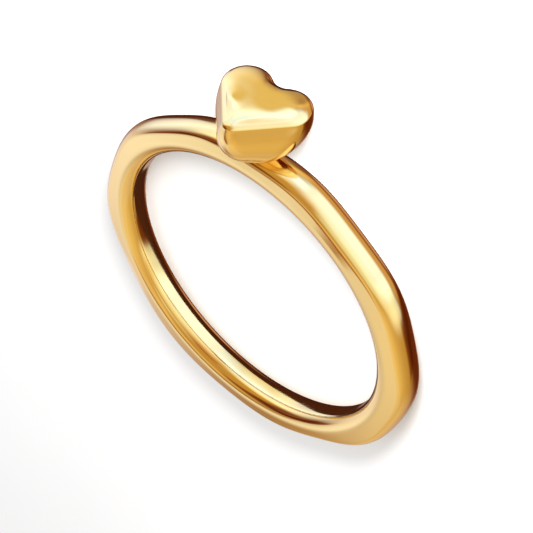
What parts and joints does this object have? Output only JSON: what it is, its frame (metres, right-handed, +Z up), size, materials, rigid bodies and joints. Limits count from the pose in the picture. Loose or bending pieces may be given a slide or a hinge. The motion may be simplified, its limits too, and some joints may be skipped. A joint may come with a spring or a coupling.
{
  "type": "heart ring",
  "caption": "Polished yellow gold finger ring: a narrow comfort-fit band with a puffed heart soldered on its outside, lying on its side.",
  "frame": {"origin": "centre of the finger hole", "axes": "+Z up from the surface that the ring lies on, with the finger hole leaning 3.3 degrees from it towards +Y; the heart faces -Y and its point is towards +Z"},
  "size_m": [0.0211, 0.0241, 0.0046],
  "materials": {
    "gold": "polished"
  },
  "bodies": {
    "root": {"heart_ring": "gold"}
  },
  "joints": []
}
